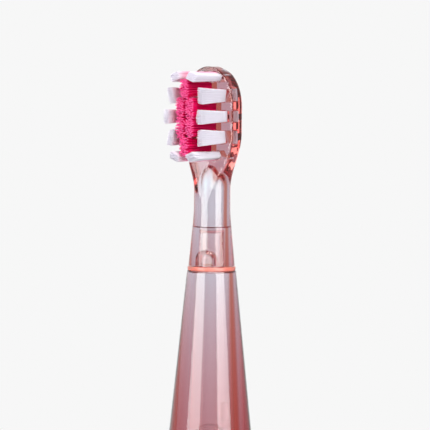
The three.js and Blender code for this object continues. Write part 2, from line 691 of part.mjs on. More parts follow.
function charger() {
  const base = new THREE.Group();
  base.add(piece('charger_shell', chargerShell(), whiteShell));
  base.add(piece('charger_cover', chargerCover(), whiteShell));
  base.add(piece('primary_coil', primaryCoil(), copper));
  base.add(piece('ferrite_core', ferriteCore(), ferrite));
  base.add(piece('charger_board', chargerBoard(), boardGreen));
  base.add(piece('usb_socket', usbSocket(), steel));
  base.add(piece('usb_tongue', usbTongue(), blackPlastic));
  base.add(piece('charge_light', chargeLight(), clearWhite));
  FEET.forEach(([x, y], i) => {
    const mesh = piece(`charger_foot_${i + 1}`, foot(), rubber);
    mesh.position.set(x, y, 0);
    base.add(mesh);
  });
  BOSSES.forEach(([x, y], i) => {
    const mesh = piece(`cover_screw_${i + 1}`, coverScrew(), steel);
    mesh.position.set(x, y, 0);
    base.add(mesh);
  });
  return base;
}

const toothbrushOnCharger = new THREE.Group();
toothbrushOnCharger.add(brushHead(), handle(), charger());

export default toothbrushOnCharger;
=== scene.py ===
# A child's clear pink sonic toothbrush on its induction charger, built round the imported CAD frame.
# A piece is shaped in millimetres, where the frame has it, and place() scales it to metres.
import math
import random

import bmesh
import bpy
from mathutils import Matrix, Vector


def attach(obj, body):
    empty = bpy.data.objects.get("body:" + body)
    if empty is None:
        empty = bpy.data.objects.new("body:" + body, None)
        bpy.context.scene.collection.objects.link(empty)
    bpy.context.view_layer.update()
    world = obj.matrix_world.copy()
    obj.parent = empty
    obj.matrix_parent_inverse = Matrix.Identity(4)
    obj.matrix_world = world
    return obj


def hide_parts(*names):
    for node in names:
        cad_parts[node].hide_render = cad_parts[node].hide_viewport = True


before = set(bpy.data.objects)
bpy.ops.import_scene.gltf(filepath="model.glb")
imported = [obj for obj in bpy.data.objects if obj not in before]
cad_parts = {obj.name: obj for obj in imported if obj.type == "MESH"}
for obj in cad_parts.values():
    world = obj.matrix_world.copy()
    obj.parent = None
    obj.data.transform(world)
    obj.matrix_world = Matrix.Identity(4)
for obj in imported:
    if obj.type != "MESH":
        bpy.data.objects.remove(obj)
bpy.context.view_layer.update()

MM = 0.001

# ---------------- driving dimensions, as in the CAD part

GAP = 0.3
HAIRLINE = 0.1

BRUSH_TOP = 203
BRUSH_BOTTOM = 13

PLATE_HALF_WIDTH = 5.9
PLATE_FACE = 1.93
PLATE_BACK = 3.0
PLATE_EDGE = 2.04
TIP_LENGTH = 8
NECK_RADIUS = 3.65
SHOULDER_START = 13.5
SHOULDER_END = 24.5
FACE_SLOPE_START = 19.3
FACE_SLOPE_END = 27
SOCKET_FLARE_START = 28.5
SOCKET_FLARE_SLOPE = 0.1
SEAM = 163.1
PEG_TOP = 170.3
PEG_RADIUS = 2.5
PEG_BORE = 1.9
SOCKET_RADIUS = 2.8
CORE_RADIUS = 2.5
CORE_TOP = 183.2
CORE_DOME = 4.5
KEY_WIDTH = 3.2
KEY_REACH = 3.3
KEY_TOP = 166.1
KEY_TURN = math.radians(12)
FACE_EDGE = 0.35  # rounding of the bristle face's edge

TUFT_CENTRE = 193.1  # height of the middle white tufts
POCKET_DEPTH = 3.0
TUFT_TIP = 9.25
PINK_TIP = 8.7
FILAMENT_RADIUS = 0.085
FILAMENT_PITCH = 0.165
FILAMENT_SIDES = 6
STATIONS = (0, 0.27, 0.45, 0.63, 0.82, 0.985)  # shares of a filament's length where it has a ring

CONE_TOP = 162.2
CONE_TOP_RADIUS = 4.9
CONE_SLOPE = 0.1034
CONE_BOTTOM = 104
CONE_BORE = 3.7  # the cone's inner radius at its top
LAND_RADIUS = 3.3  # the step round the peg's foot, inside the seal ring
DIFFUSER_RADIUS = 4.2
DIFFUSER_WALL = 0.6
DIFFUSER_BASE = 112.8
DIFFUSER_CENTRE = 127
FLANGE_RADIUS = 5.9
FLANGE_TOP = 114
LAMP_X = 3.2
FLARE_END = 120
WIDEST = 50
FOOT_TAPER = 0.9
HANDLE_WALL = 2.2
GRIP_THICKNESS = 1.0
GRIP_BOTTOM = 30
GRIP_TOP = 97
SPIGOT_TOP = 110
SPIGOT_RADIUS = 8.8
SPIGOT_BORE = 7.9
PANEL_WIDTH = 13
PANEL_BOTTOM = 42
PANEL_TOP = 92
BUTTON_Z = 82
BUTTON_RADIUS = 5
BUTTON_BACK = 10.5
BUTTON_FRONT = 12.9
MODE_LIGHT_Z = (66, 60, 54)
MODE_LIGHT_RADIUS = 0.7
MODE_LIGHT_BACK = 8.4

WELL_RADIUS = 5.2
WELL_TOP = 29.3
WELL_WALL = 1.2
CAP_FLOOR = BRUSH_BOTTOM + 3
CAP_STEP = BRUSH_BOTTOM + 2.7  # where the cap's spigot starts, inside the housing
CAP_SPIGOT_RADIUS = 10.2
CAP_SPIGOT_BORE = 8.8
SEAL_GROOVE = (18.6, 20.2)
SEAL_GROOVE_RADIUS = 9.4

CHARGER_RADIUS = 29
CHARGER_TOP = 16
CHARGER_WALL = 1.8
SHELL_BOTTOM = 1
DOME_START = 4
CRADLE_RADIUS = 13.6
CRADLE_FLOOR = 12.7
POST_RADIUS = 4.7
POST_TOP = 28.7
POST_BORE = 3.3
COVER_TOP = 2.8
BOSS_CIRCLE = 20
BOSS_RADIUS = 2.8
BOSS_TOP = 13
SCREW_HOLE_RADIUS = 1.35
SCREW_HOLE_TOP = 10.5
FOOT_CIRCLE = 21.5
FOOT_RADIUS = 4
FOOT_HEIGHT = 1.5
INLET_Z = 7.7
INLET_WIDTH = 8.9
INLET_HEIGHT = 3.2
INLET_FRONT = 27.6
INLET_DEPTH = 7
CHARGE_LIGHT_Z = 8
CHARGE_LIGHT_RADIUS = 1.2
SCREW_HEAD_RADIUS = 2.3


# ---------------- mesh helpers

def steps(start, end, count):
    return [start + (end - start) * i / count for i in range(count + 1)]


def smooth_step(start, end, value):
    t = min(1, max(0, (value - start) / (end - start)))
    return t * t * (3 - 2 * t)


def lerp(a, b, t):
    return a + (b - a) * t


def added(name, data):
    """A new object in the scene that shows that mesh, light or camera."""
    thing = bpy.data.objects.new(name, data)
    bpy.context.scene.collection.objects.link(thing)
    return thing


def mesh_object(name, points, faces):
    """A new object from points in millimetres, with its faces turned outwards."""
    mesh = bpy.data.meshes.new(name)
    mesh.from_pydata(points, [], faces)
    work = bmesh.new()
    work.from_mesh(mesh)
    bmesh.ops.remove_doubles(work, verts=work.verts, dist=1e-4)
    bmesh.ops.recalc_face_normals(work, faces=work.faces)
    work.to_mesh(mesh)
    work.free()
    return added(name, mesh)


def lofted(name, rings):
    """A closed body through rings of points that all have the same count."""
    count = len(rings[0])
    points = [point for ring in rings for point in ring]
    faces = []
    for level in range(len(rings) - 1):
        for i in range(count):
            a = level * count + i
            b = level * count + (i + 1) % count
            faces.append((a, b, b + count, a + count))
    last = len(points) - count
    faces.append(tuple(range(count - 1, -1, -1)))
    faces.append(tuple(range(last, last + count)))
    return mesh_object(name, points, faces)


def rounded(outline, radius, segments=4):
    """The outline with each corner rounded to about that radius, as far as the sides next to it allow."""
    ring_shaped = outline[0][0] > 0
    corners = [Vector(p) for p in outline]
    count = len(corners)
    result = []
    for i, corner in enumerate(corners):
        if not ring_shaped and i in (0, count - 1):
            result.append(tuple(corner))
            continue
        before, after = corners[i - 1] - corner, corners[(i + 1) % count] - corner
        if before.length < 1e-6 or after.length < 1e-6:
            result.append(tuple(corner))
            continue
        turn = math.pi - before.angle(after)
        if turn < 0.12:
            result.append(tuple(corner))
            continue
        reach = min(radius * math.tan(turn / 2), 0.45 * before.length, 0.45 * after.length)
        first = corner + before.normalized() * reach
        last = corner + after.normalized() * reach
        for t in steps(0, 1, segments):
            point = first * (1 - t) ** 2 + corner * 2 * t * (1 - t) + last * t ** 2
            result.append(tuple(point))
    return result


def turned(name, outline, segments=96, middle=(0, 0)):
    """A body turned about an upright axis from an outline of (radius, height) pairs."""
    points = []
    faces = []
    rows = []
    x, y = middle
    for radius, height in outline:
        if radius < 1e-6:
            rows.append([len(points)])
            points.append((x, y, height))
            continue
        rows.append(list(range(len(points), len(points) + segments)))
        for i in range(segments):
            angle = 2 * math.pi * i / segments
            points.append((x + radius * math.cos(angle), y + radius * math.sin(angle), height))
    closing = [] if outline[0][0] < 1e-6 else [(rows[-1], rows[0])]
    for lower, upper in [*zip(rows, rows[1:]), *closing]:
        for i in range(segments):
            j = (i + 1) % segments
            if len(lower) == 1 and len(upper) == 1:
                continue
            if len(lower) == 1:
                faces.append((lower[0], upper[j], upper[i]))
            elif len(upper) == 1:
                faces.append((lower[i], lower[j], upper[0]))
            else:
                faces.append((lower[i], lower[j], upper[j], upper[i]))
    return mesh_object(name, points, faces)


def rod(name, radius, bottom, top, segments=48, edge=0.15, middle=(0, 0)):
    outline = rounded([(0, bottom), (radius, bottom), (radius, top), (0, top)], edge)
    return turned(name, outline, segments, middle)


def laid_along_y(piece, x, z):
    """Turns an upright piece to lie along Y, its top to the front, and moves it to x and z."""
    piece.data.transform(Matrix.Translation((x, 0, z)) @ Matrix.Rotation(math.radians(90), 4, "X"))
    return piece


def round_cornered(a, b, corner, segments):
    """Points round a rectangle of half width a and half height b, with its corners rounded to a radius."""
    x, z = a - corner, b - corner
    points = []
    for centre_x, centre_z, start in ((x, z, 0), (-x, z, 90), (-x, -z, 180), (x, -z, 270)):
        for angle in steps(math.radians(start), math.radians(start + 90), segments):
            points.append((centre_x + corner * math.cos(angle), centre_z + corner * math.sin(angle)))
    return points


def stadium_ring(width, height, y, z, inset):
    """Points round a slot shape across X and Z at a depth along Y."""
    a, b = width / 2 - inset, height / 2 - inset
    return [(x, y, z + up) for x, up in round_cornered(a, b, min(a, b), 10)]


def stadium(name, width, height, front, back, z, edge=0.0):
    """A slab with round ends, seen along Y, with its edges bevelled by that much."""
    angles = steps(0, math.pi / 2, 4) if edge else [math.pi / 2]
    insets = [edge * (1 - math.sin(angle)) for angle in angles]
    rings = [stadium_ring(width, height, front + inset, z, inset) for inset in insets]
    rings += [stadium_ring(width, height, back - inset, z, inset) for inset in reversed(insets)]
    return lofted(name, rings)


def block(name, low, high, edge=0.15):
    """A box between two corners with rounded edges."""
    corners = [(x, y, z) for x in (low[0], high[0]) for y in (low[1], high[1]) for z in (low[2], high[2])]
    faces = [(0, 1, 3, 2), (4, 6, 7, 5), (0, 4, 5, 1), (2, 3, 7, 6), (0, 2, 6, 4), (1, 5, 7, 3)]
    piece = mesh_object(name, corners, faces)
    if edge:
        work = bmesh.new()
        work.from_mesh(piece.data)
        bmesh.ops.bevel(work, geom=work.edges[:], offset=edge, segments=3, profile=0.5, affect="EDGES")
        work.to_mesh(piece.data)
        work.free()
    return piece


def combine(piece, tools, operation):
    """Joins the tools to the piece or cuts them from it, and uses them up."""
    for tool in tools:
        modifier = piece.modifiers.new("combine", "BOOLEAN")
        modifier.operation = operation
        modifier.solver = "MANIFOLD"
        modifier.object = tool
    shaped = piece.evaluated_get(bpy.context.evaluated_depsgraph_get())
    mesh = bpy.data.meshes.new_from_object(shaped)
    piece.modifiers.clear()
    piece.data = mesh
    for tool in tools:
        bpy.data.objects.remove(tool)
    return piece


def cut(piece, *tools):
    return combine(piece, tools, "DIFFERENCE")


def joined(piece, *tools):
    return combine(piece, tools, "UNION")


def place(piece, body, material, nodes, smooth_under=40):
    """Scales a finished piece to metres, shades it, gives it its material, and hands it to the frame."""
    piece.data.transform(Matrix.Scale(MM, 4))
    piece.data.polygons.foreach_set("use_smooth", [True] * len(piece.data.polygons))
    piece.data.set_sharp_from_angle(angle=math.radians(smooth_under))
    piece.data.materials.clear()
    piece.data.materials.append(material)
    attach(piece, body)
    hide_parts(*nodes)
    return piece


# ---------------- materials

def new_material(name):
    material = bpy.data.materials.new(name)
    material.use_nodes = True
    nodes = material.node_tree.nodes
    return material, nodes, material.node_tree.links, nodes["Principled BSDF"]


def object_noise(nodes, links, scale, detail=4.0, rough=0.5):
    """Noise fixed to the piece, with its scale in features per metre."""
    noise = nodes.new("ShaderNodeTexNoise")
    noise.inputs["Scale"].default_value = scale
    noise.inputs["Detail"].default_value = detail
    noise.inputs["Roughness"].default_value = rough
    links.new(nodes.new("ShaderNodeTexCoord").outputs["Object"], noise.inputs["Vector"])
    return noise.outputs["Fac"]


def spread(nodes, links, value, low, high):
    """Maps a 0 to 1 value to a range."""
    mapped = nodes.new("ShaderNodeMapRange")
    mapped.inputs["To Min"].default_value = low
    mapped.inputs["To Max"].default_value = high
    links.new(value, mapped.inputs["Value"])
    return mapped.outputs["Result"]


def bumped(nodes, links, height, distance, strength=1.0):
    bump = nodes.new("ShaderNodeBump")
    bump.inputs["Distance"].default_value = distance
    bump.inputs["Strength"].default_value = strength
    links.new(height, bump.inputs["Height"])
    return bump.outputs["Normal"]


def colour_between(nodes, links, value, first, second):
    ramp = nodes.new("ShaderNodeValToRGB")
    ramp.color_ramp.elements[0].color = (*first, 1)
    ramp.color_ramp.elements[1].color = (*second, 1)
    ramp.color_ramp.elements[0].position = 0.3
    ramp.color_ramp.elements[1].position = 0.7
    links.new(value, ramp.inputs["Fac"])
    return ramp.outputs["Color"]


def mixed(nodes, links, factor, first, second):
    """From the first colour to the second. Each is three parts or a socket."""
    mix = nodes.new("ShaderNodeMix")
    mix.data_type = "RGBA"
    links.new(factor, mix.inputs["Factor"])
    for side, colour in (("A", first), ("B", second)):
        if isinstance(colour, tuple):
            mix.inputs[side].default_value = (*colour, 1)
        else:
            links.new(colour, mix.inputs[side])
    return mix.outputs["Result"]


def clear_plastic(name, absorb, density, roughness, ior=1.49):
    """Polished clear plastic that soaks up green and blue with depth and has faint flow marks."""
    material, nodes, links, shader = new_material(name)
    shader.inputs["Base Color"].default_value = (1, 1, 1, 1)
    shader.inputs["Transmission Weight"].default_value = 1
    shader.inputs["IOR"].default_value = ior
    noise = object_noise(nodes, links, 900)
    links.new(spread(nodes, links, noise, roughness * 0.6, roughness * 1.4), shader.inputs["Roughness"])
    flow = object_noise(nodes, links, 120, detail=1.0)
    links.new(bumped(nodes, links, flow, 0.00006, 0.25), shader.inputs["Normal"])
    volume = nodes.new("ShaderNodeVolumeAbsorption")
    volume.inputs["Color"].default_value = (*absorb, 1)
    volume.inputs["Density"].default_value = density
    links.new(volume.outputs["Volume"], nodes["Material Output"].inputs["Volume"])
    return material


def milky(name, colour):
    """Glossy silicone or plastic that lets some light through."""
    material, nodes, links, shader = new_material(name)
    tone = object_noise(nodes, links, 400)
    paler = [lerp(part, 1, 0.15) for part in colour]
    links.new(colour_between(nodes, links, tone, colour, paler), shader.inputs["Base Color"])
    shader.inputs["Transmission Weight"].default_value = 0.5
    shader.inputs["IOR"].default_value = 1.42
    shader.inputs["Roughness"].default_value = 0.2
    return material


def attribute(nodes, name):
    node = nodes.new("ShaderNodeAttribute")
    node.attribute_name = name
    return node.outputs["Fac"]


def filament(name, root, tip, softness):
    """Nylon filament: a soft sheen, a paler rounded end that is a painted highlight, and a change of shade
    from one strand to the next.

    White strands beside the pink tufts get painted pink bounce light from them.
    """
    material, nodes, links, shader = new_material(name)
    # The colour goes paler towards each strand's end: a painted highlight on the tips.
    end = nodes.new("ShaderNodeMapRange")
    end.interpolation_type = "SMOOTHSTEP"
    end.inputs["From Min"].default_value = 0.93
    links.new(attribute(nodes, "reach"), end.inputs["Value"])
    paler = nodes.new("ShaderNodeMath")
    paler.operation = "MULTIPLY_ADD"
    paler.inputs[1].default_value = 0.1
    links.new(attribute(nodes, "shade"), paler.inputs[0])
    links.new(end.outputs["Result"], paler.inputs[2])
    own = mixed(nodes, links, paler.outputs["Value"], root, tip)
    # The white strands get painted pink bounce light from the pink tufts beside them.
    colour = mixed(nodes, links, attribute(nodes, "painted_pink_bounce"), own, PAINTED_PINK_BOUNCE)
    links.new(colour, shader.inputs["Base Color"])
    noise = object_noise(nodes, links, 2600, detail=2.0)
    links.new(spread(nodes, links, noise, 0.38, 0.55), shader.inputs["Roughness"])
    shader.inputs["IOR"].default_value = 1.5
    shader.inputs["Specular IOR Level"].default_value = 0.02
    shader.inputs["Subsurface Weight"].default_value = softness
    shader.inputs["Subsurface Radius"].default_value = (1, 0.95, 1)
    shader.inputs["Subsurface Scale"].default_value = 0.0012
    return material


def moulded(name, first, second, roughness, grain, depth, coat=0.0):
    """Opaque moulded plastic or elastomer with a fine grain and slightly uneven gloss."""
    material, nodes, links, shader = new_material(name)
    tone = object_noise(nodes, links, 60, detail=3.0)
    links.new(colour_between(nodes, links, tone, first, second), shader.inputs["Base Color"])
    wear = object_noise(nodes, links, 400, detail=5.0)
    links.new(spread(nodes, links, wear, roughness * 0.85, roughness * 1.15), shader.inputs["Roughness"])
    fine = object_noise(nodes, links, grain, detail=2.0)
    links.new(bumped(nodes, links, fine, depth, 0.6), shader.inputs["Normal"])
    shader.inputs["Coat Weight"].default_value = coat
    shader.inputs["Coat Roughness"].default_value = 0.12
    return material


def metal(name, first, second, roughness):
    """Plated or drawn metal with fine marks."""
    material, nodes, links, shader = new_material(name)
    tone = object_noise(nodes, links, 500, detail=6.0)
    links.new(colour_between(nodes, links, tone, first, second), shader.inputs["Base Color"])
    links.new(spread(nodes, links, tone, roughness * 0.7, roughness * 1.3), shader.inputs["Roughness"])
    shader.inputs["Metallic"].default_value = 1
    links.new(bumped(nodes, links, tone, 0.00001, 0.5), shader.inputs["Normal"])
    return material


def wound_wire(name, first, second, pitch):
    """Enamelled wire wound round an upright axis: a ridge for each turn, darker in the grooves between turns
    as painted shade.
    """
    material, nodes, links, shader = new_material(name)
    wave = nodes.new("ShaderNodeTexWave")
    wave.bands_direction = "Z"
    wave.inputs["Scale"].default_value = 1 / (pitch * MM) / 20 * math.pi
    wave.inputs["Distortion"].default_value = 0.4
    links.new(nodes.new("ShaderNodeTexCoord").outputs["Object"], wave.inputs["Vector"])
    # The wire's colour darkens in the grooves between turns: painted shade.
    links.new(colour_between(nodes, links, wave.outputs["Fac"], first, second), shader.inputs["Base Color"])
    links.new(bumped(nodes, links, wave.outputs["Fac"], 0.00008, 1.0), shader.inputs["Normal"])
    shader.inputs["Metallic"].default_value = 0.8
    shader.inputs["Roughness"].default_value = 0.35
    return material


PAINTED_PINK_BOUNCE = (0.95, 0.22, 0.40)  # painted pink bounce light that the pink tufts throw on the white strands beside them
CLEAR_PINK = clear_plastic("clear_pink_plastic", (0.81, 0.05, 0.06), 200, 0.03)
FROSTED = clear_plastic("frosted_clear_plastic", (0.9, 0.6, 0.62), 90, 0.2, 1.2)
CORAL = milky("coral_seal", (1.0, 0.30, 0.21))
MILKY_LENS = milky("milky_lens", (0.85, 0.80, 0.82))
# The second colour of each filament, at its end, is paler: a painted highlight on the strand tips.
BRISTLE_WHITE = filament("white_nylon", (0.79, 0.76, 0.83), (0.83, 0.80, 0.87), 0.35)
BRISTLE_PINK = filament("hot_pink_nylon", (0.86, 0.0004, 0.10), (0.98, 0.15, 0.44), 0.2)
WHITE_PLASTIC = moulded("white_plastic", (0.70, 0.68, 0.68), (0.73, 0.71, 0.71), 0.3, 2500, 0.00001, 0.25)
GRIP = moulded("pink_elastomer", (0.80, 0.27, 0.31), (0.84, 0.31, 0.35), 0.6, 5000, 0.00005)
RUBBER = moulded("grey_rubber", (0.18, 0.17, 0.18), (0.22, 0.21, 0.22), 0.75, 4000, 0.00004)
BLACK = moulded("black_plastic", (0.012, 0.012, 0.014), (0.02, 0.02, 0.022), 0.45, 3000, 0.00001)
STEEL = metal("plated_steel", (0.55, 0.56, 0.58), (0.66, 0.67, 0.69), 0.28)
BOARD = moulded("green_board", (0.02, 0.10, 0.05), (0.03, 0.14, 0.07), 0.35, 1800, 0.00002, 0.4)
FRAME_PLASTIC = moulded("frame_plastic", (0.6, 0.6, 0.57), (0.66, 0.66, 0.63), 0.5, 2500, 0.00001)
WRAP = moulded("battery_wrap", (0.04, 0.16, 0.38), (0.06, 0.20, 0.44), 0.3, 900, 0.00002, 0.5)
COPPER = wound_wire("copper_winding", (0.30, 0.10, 0.04), (0.72, 0.30, 0.13), 0.3)
FERRITE = moulded("ferrite", (0.02, 0.02, 0.022), (0.035, 0.035, 0.038), 0.6, 3500, 0.00003)


# ---------------- shared outlines

def body_radius(z):
    """Outer radius of the light cone and the handle at a height."""
    if z >= FLARE_END:
        return CONE_TOP_RADIUS + CONE_SLOPE * (CONE_TOP - z)

    def flare(run):
        return body_radius(FLARE_END) + CONE_SLOPE * run * (1 - run / (2 * (FLARE_END - WIDEST)))

    if z >= WIDEST:
        return flare(FLARE_END - z)
    return flare(FLARE_END - WIDEST) - FOOT_TAPER * ((WIDEST - z) / (WIDEST - BRUSH_BOTTOM)) ** 2


def head_section(down):
    """The head's cross-section at a distance below its tip."""
    to_neck = smooth_step(SHOULDER_START, SHOULDER_END, down)
    flare_run = max(0, down - SOCKET_FLARE_START)
    flare = SOCKET_FLARE_SLOPE * flare_run ** 2 / (flare_run + 1.5)
    tip = min(1, down / TIP_LENGTH)
    roll_off = PLATE_EDGE - math.sqrt(PLATE_EDGE ** 2 - (PLATE_EDGE - down) ** 2) if down < PLATE_EDGE else 0
    half_width = lerp(PLATE_HALF_WIDTH * math.sqrt(1 - (1 - tip) ** 2), NECK_RADIUS, to_neck)
    back = lerp(PLATE_BACK - roll_off, NECK_RADIUS, to_neck)
    radius = min(half_width, lerp(PLATE_EDGE, NECK_RADIUS, to_neck))
    face_rise = min(1, max(0, (down - FACE_SLOPE_START) / (FACE_SLOPE_END - FACE_SLOPE_START)))
    face = lerp(PLATE_FACE, NECK_RADIUS, face_rise)
    return half_width + flare, back + flare, radius + flare, NECK_RADIUS + flare, face + flare * face_rise


def head_ring(down):
    half_width, back, radius, front, face = head_section(down)
    front_centre = min(front - radius, face)
    face_angle = math.asin(min(1, (face - front_centre) / radius))
    side = []
    for angle in steps(-face_angle, 0, 16):
        side.append(Vector((half_width - radius + radius * math.cos(angle),
                            -front_centre + radius * math.sin(angle))))
    for angle in steps(0, math.pi / 2, 24)[1:]:
        side.append(Vector((half_width - radius + radius * math.cos(angle),
                            back - radius + radius * math.sin(angle))))
    corner = side[0]
    edge = min(FACE_EDGE, 0.45 * corner.x)
    side = [p for p in side if (p - corner).length > edge]
    first, last = corner - Vector((edge, 0)), corner + (side[0] - corner).normalized() * edge
    fillet = [first * (1 - t) ** 2 + corner * 2 * t * (1 - t) + last * t ** 2 for t in steps(0, 1, 6)]
    half = spaced_evenly([Vector((0, -face)), *fillet, *side, Vector((0, back))], 60)
    z = BRUSH_TOP - down
    return [(p.x, p.y, z) for p in half] + [(-p.x, p.y, z) for p in reversed(half[1:-1])]


def spaced_evenly(line, count):
    """Points spread evenly along a line of points, its two ends among them."""
    reached = [0]
    for a, b in zip(line, line[1:]):
        reached.append(reached[-1] + (b - a).length)
    result = []
    span = 0
    for target in steps(0, reached[-1], count):
        while span < len(line) - 2 and reached[span + 1] < target:
            span += 1
        length = reached[span + 1] - reached[span]
        share = min(1, (target - reached[span]) / length) if length else 0
        result.append(line[span].lerp(line[span + 1], share))
    return result


# ---------------- tufts

def white_tufts():
    """Five tufts down each side: the end ones wide and turned, the ones beside the middle short."""
    end = dict(across=2.0, wide=2.3, tall=1.5, tip_tall=1.9, length=TUFT_TIP)
    short = dict(across=3.5, wide=1.4, tall=2.6, tip_tall=3.5, length=TUFT_TIP - 0.95)
    middle = dict(across=3.9, wide=1.4, tall=2.4, tip_tall=3.3, length=TUFT_TIP)
    rows = [
        {**end, "up": 7.9, "turn": 0.42, "slant": -0.4},
        {**short, "up": 4.15, "turn": 0.12, "slant": 0.35},
        {**middle, "up": 0, "turn": 0, "slant": 0},
        {**short, "up": -4.15, "turn": -0.12, "slant": -0.35},
        {**end, "up": -7.9, "turn": -0.42, "slant": 0.4},
    ]
    return [{**row, "across": side * row["across"], "turn": side * row["turn"]}
            for side in (1, -1) for row in rows]


def pink_tufts():
    """Two pairs of tufts side by side, and a longer single one above and below them."""
    plain = dict(wide=1.7, turn=0, slant=0, flare=1.12)
    single = {**plain, "across": 0, "tall": 2.4, "tip_tall": 4.1, "length": PINK_TIP + 0.35}
    paired = {**plain, "tall": 2.6, "tip_tall": 4.3, "length": PINK_TIP}
    return [
        {**single, "up": 5.6},
        {**paired, "up": 1.75, "across": 1.1},
        {**paired, "up": 1.75, "across": -1.1},
        {**paired, "up": -2.1, "across": 1.1},
        {**paired, "up": -2.1, "across": -1.1},
        {**single, "up": -5.9},
    ]


def tuft_point(tuft, x, y, z):
    """A point given across the tuft, along Y and up the tuft, in the row frame."""
    c, s = math.cos(tuft["turn"]), math.sin(tuft["turn"])
    return (tuft["across"] + x * c + z * s, y, TUFT_CENTRE + tuft["up"] + z * c - x * s)


def bundle(tuft, pitch):
    """Where the filaments stand across the tuft, on a close-packed grid inside its rounded outline."""
    a, b = tuft["wide"] / 2 - FILAMENT_RADIUS, tuft["tall"] / 2 - FILAMENT_RADIUS
    corner = 0.45 * min(a, b)
    row_pitch = pitch * math.sqrt(3) / 2
    rows = int(b / row_pitch)
    places = []
    for row in range(-rows, rows + 1):
        offset = pitch / 2 if row % 2 else 0
        columns = int((a + offset) / pitch) + 1
        for column in range(-columns, columns + 1):
            x, z = column * pitch + offset, row * row_pitch
            over = Vector((max(0, abs(x) - a + corner), max(0, abs(z) - b + corner)))
            if over.length <= corner:
                places.append((x, z))
    return places


def strand_ends(tuft, x, z, chance, crown, uneven):
    """How far out the strand that stands at x and z in a tuft ends, along Y."""
    up, out = 2 * z / tuft["tall"], 2 * x / tuft["wide"]
    rounding = crown * (abs(up) ** 3 + 0.5 * abs(out) ** 3)
    level = -PLATE_FACE - tuft["length"] - tuft["slant"] * up
    return level + rounding + chance.uniform(-uneven, 0.7 * uneven)


def painted_bounce_share(tuft, x, white):
    """How much painted pink bounce light each ring of a strand gets, most on the inner side of a white tuft,
    which faces the pink tufts.
    """
    if not white:
        return [0] * len(STATIONS)
    out = 2 * x / tuft["wide"]
    inner = smooth_step(-0.2, 1, -out * math.copysign(1, tuft["across"]))
    return [inner * (1 - smooth_step(0.7, 0.97, t)) for t in STATIONS]


def strand_rings(tuft, x, z, tip_y, lean_x, lean_z):
    """The middle and radius of each ring along a strand that fans out from its root."""
    root = -PLATE_FACE + POCKET_DEPTH
    spread_x, spread_z = x * tuft.get("flare", 1), z * tuft["tip_tall"] / tuft["tall"]
    rings = []
    for t in STATIONS:
        bend = max(0, (t - 0.25) / 0.75) ** 1.3
        radius = FILAMENT_RADIUS * (1 + 0.2 * bend if t < 0.9 else 0.9)
        rings.append((lerp(x, spread_x, bend) + lean_x * bend, lerp(root, tip_y, t),
                      lerp(z, spread_z, bend) + lean_z * bend, radius))
    return rings


def strand_points(tuft, rings, tip_y):
    """The points of a strand: its rings, then its tip and its foot."""
    points = []
    for cx, y, cz, radius in rings:
        for i in range(FILAMENT_SIDES):
            angle = 2 * math.pi * i / FILAMENT_SIDES
            points.append(tuft_point(tuft, cx + radius * math.cos(angle), y, cz + radius * math.sin(angle)))
    first, last = rings[0], rings[-1]
    points.append(tuft_point(tuft, last[0], tip_y, last[2]))
    points.append(tuft_point(tuft, first[0], first[1] + 0.02, first[2]))
    return points


def strand_faces(start):
    """The faces of a strand whose points start at that number."""
    sides = FILAMENT_SIDES
    end = start + (len(STATIONS) - 1) * sides
    tip, foot = end + sides, end + sides + 1
    faces = []
    for ring in range(start, end, sides):
        for i in range(sides):
            a, b = ring + i, ring + (i + 1) % sides
            faces.append((a, b, b + sides, a + sides))
    for i in range(sides):
        j = (i + 1) % sides
        faces.append((end + i, end + j, tip))
        faces.append((start + j, start + i, foot))
    return faces


def bristles(name, tuft, chance, crown, uneven, lean, white):
    """One tuft: strands that stand close in their pocket and fan out towards their rounded tips.

    The tuft's end is crowned by that much, and its strands end unevenly and lean at random by that much.
    """
    points, faces, shades, reach, painted_pink_bounce = [], [], [], [], []
    for x, z in bundle(tuft, FILAMENT_PITCH):
        tip_y = strand_ends(tuft, x, z, chance, crown, uneven)
        lean_x, lean_z = chance.gauss(0, lean), chance.gauss(0, lean)
        faces += strand_faces(len(points))
        points += strand_points(tuft, strand_rings(tuft, x, z, tip_y, lean_x, lean_z), tip_y)
        shades += [chance.random()] * (len(STATIONS) * FILAMENT_SIDES + 2)
        reach += [t for t in STATIONS for i in range(FILAMENT_SIDES)] + [1, 0]
        # Painted pink bounce light, ring by ring, on the white strands next to the pink tufts.
        painted_pink_bounce += [share for share in painted_bounce_share(tuft, x, white) for i in range(FILAMENT_SIDES)] + [0, 0]
    mesh = bpy.data.meshes.new(name)
    mesh.from_pydata(points, [], faces)
    for attribute_name, values in (("shade", shades), ("reach", reach), ("painted_pink_bounce", painted_pink_bounce)):
        mesh.attributes.new(attribute_name, "FLOAT", "POINT").data.foreach_set("value", values)
    return added(name, mesh)


def make_tufts():
    chance = random.Random(7)
    for i, tuft in enumerate(white_tufts(), 1):
        name = f"white_bristles_{i:02d}"
        piece = bristles(name, tuft, chance, crown=0.3, uneven=0.18, lean=0.012, white=True)
        place(piece, "head", BRISTLE_WHITE, [f"white_tuft_{i:02d}"])
    for i, tuft in enumerate(pink_tufts(), 1):
        name = f"pink_bristles_{i:02d}"
        piece = bristles(name, tuft, chance, crown=0.4, uneven=0.2, lean=0.13, white=False)
        place(piece, "head", BRISTLE_PINK, [f"pink_tuft_{i:02d}"])


# ---------------- brush head

def pocket(tuft):
    """The blind hole that holds a tuft's roots."""
    a, b = tuft["wide"] / 2 + HAIRLINE, tuft["tall"] / 2 + HAIRLINE
    outline = round_cornered(a, b, 0.45 * min(a, b), 5)
    depths = -PLATE_FACE + POCKET_DEPTH + HAIRLINE, -PLATE_FACE - 1
    return lofted("pocket", [[tuft_point(tuft, x, y, z) for x, z in outline] for y in depths])


